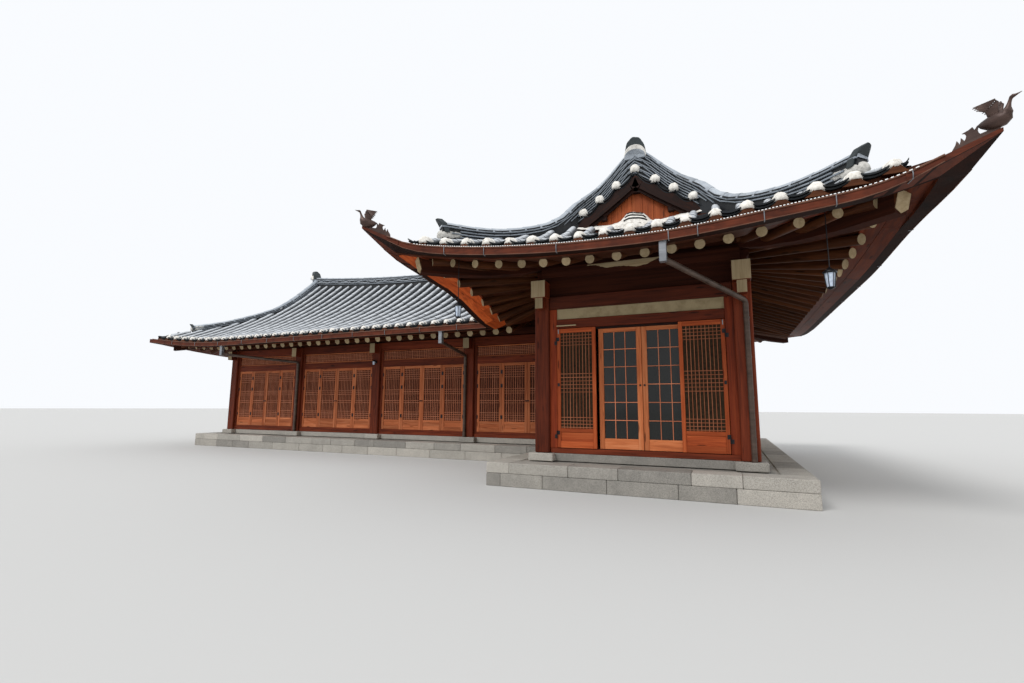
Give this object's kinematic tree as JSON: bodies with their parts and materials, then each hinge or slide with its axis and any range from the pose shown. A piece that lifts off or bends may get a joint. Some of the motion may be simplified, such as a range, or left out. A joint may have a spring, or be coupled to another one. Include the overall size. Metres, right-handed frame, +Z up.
{
  "type": "hanok house",
  "caption": "L-shaped single-storey timber house on a stone plinth, with a tiled hip and gable roof, upturned corners, lattice doors and copper gutters.",
  "frame": {"origin": "on the ground under the middle of the hall's front wall line", "axes": "+X to the right along the front, +Y away from the viewer along the hall, +Z up"},
  "size_m": [18.2523, 11.4995, 6.0295],
  "materials": {
    "stone": "dressed granite, matt",
    "floor_wood": "oiled boards",
    "frame_wood": "dark reddish brown oil stain, satin",
    "plaster": "cream lime plaster, matt",
    "door_wood": "orange-brown oil stain, satin",
    "glass": "clear, dark behind",
    "roof_tile": "grey fired clay, slightly shiny",
    "ridge_tile": "grey fired clay with white plaster joints",
    "gable_wood": "reddish orange stain, matt",
    "gutter_metal": "copper brown, satin",
    "crane_metal": "dark bronze, satin",
    "pipe_metal": "grey brown, satin",
    "lamp_metal": "black, satin"
  },
  "bodies": {
    "house": {"stone_plinth": "stone", "floor_boards": "floor_wood", "hall_front_frame": "frame_wood", "wing_front_frame": "frame_wood", "right_frame": "frame_wood", "rear_frame": "frame_wood", "wing_end_frame": "frame_wood", "hall_purlins": "frame_wood", "wing_purlins": "frame_wood", "hall_plaster_band": "plaster", "right_wall": "plaster", "rear_wall": "plaster", "wing_end_wall": "plaster", "hall_left_wall": "plaster", "wing_doors_1": "door_wood", "wing_doors_2": "door_wood", "wing_doors_3": "door_wood", "wing_doors_4": "door_wood", "right_window_1": "door_wood", "right_window_2": "door_wood", "rear_window_1": "door_wood", "rear_window_2": "door_wood", "wing_end_window": "door_wood", "hall_left_window": "door_wood", "hall_front_roof": "roof_tile", "hall_right_roof": "roof_tile", "hall_left_roof": "roof_tile", "wing_front_roof": "roof_tile", "rear_roof": "roof_tile", "wing_end_roof": "roof_tile", "hall_main_ridge": "ridge_tile", "wing_main_ridge": "ridge_tile", "hall_left_ridge": "ridge_tile", "hall_right_ridge": "ridge_tile", "wing_front_ridge": "ridge_tile", "wing_rear_ridge": "ridge_tile", "rear_hip_ridge": "ridge_tile", "hall_gable": "gable_wood", "wing_gable": "gable_wood", "hall_front_gutter": "gutter_metal", "hall_right_gutter": "gutter_metal", "hall_left_gutter": "gutter_metal", "wing_front_gutter": "gutter_metal", "rear_gutter": "gutter_metal", "wing_end_gutter": "gutter_metal", "crane_left": "crane_metal", "crane_right": "crane_metal", "hall_downspout": "pipe_metal", "wing_downspout_right": "pipe_metal", "wing_downspout_left": "pipe_metal", "lantern_left": "lamp_metal", "lantern_right": "lamp_metal", "wall_lamp": "lamp_metal"},
    "lattice_leaf_left": {"lattice_door_left": "door_wood"},
    "lattice_leaf_right": {"lattice_door_right": "door_wood"},
    "glass_leaf_left": {"glass_door_left": "door_wood", "door_glass_left": "glass"},
    "glass_leaf_right": {"glass_door_right": "door_wood", "door_glass_right": "glass"}
  },
  "joints": [
    {"name": "left_leaf_hinge", "type": "hinge", "parent": "house", "child": "lattice_leaf_left", "pos_m": [-1.257, -0.086, 0.76], "axis": [0, 0, -1], "range_deg": [0, 90]},
    {"name": "right_leaf_hinge", "type": "hinge", "parent": "house", "child": "lattice_leaf_right", "pos_m": [1.257, -0.086, 0.76], "axis": [0, 0, 1], "range_deg": [0, 90]},
    {"name": "left_glass_slide", "type": "slide", "parent": "house", "child": "glass_leaf_left", "axis": [-1, 0, 0], "range_m": [0, 0.55]},
    {"name": "right_glass_slide", "type": "slide", "parent": "house", "child": "glass_leaf_right", "axis": [1, 0, 0], "range_m": [0, 0.5]}
  ]
}
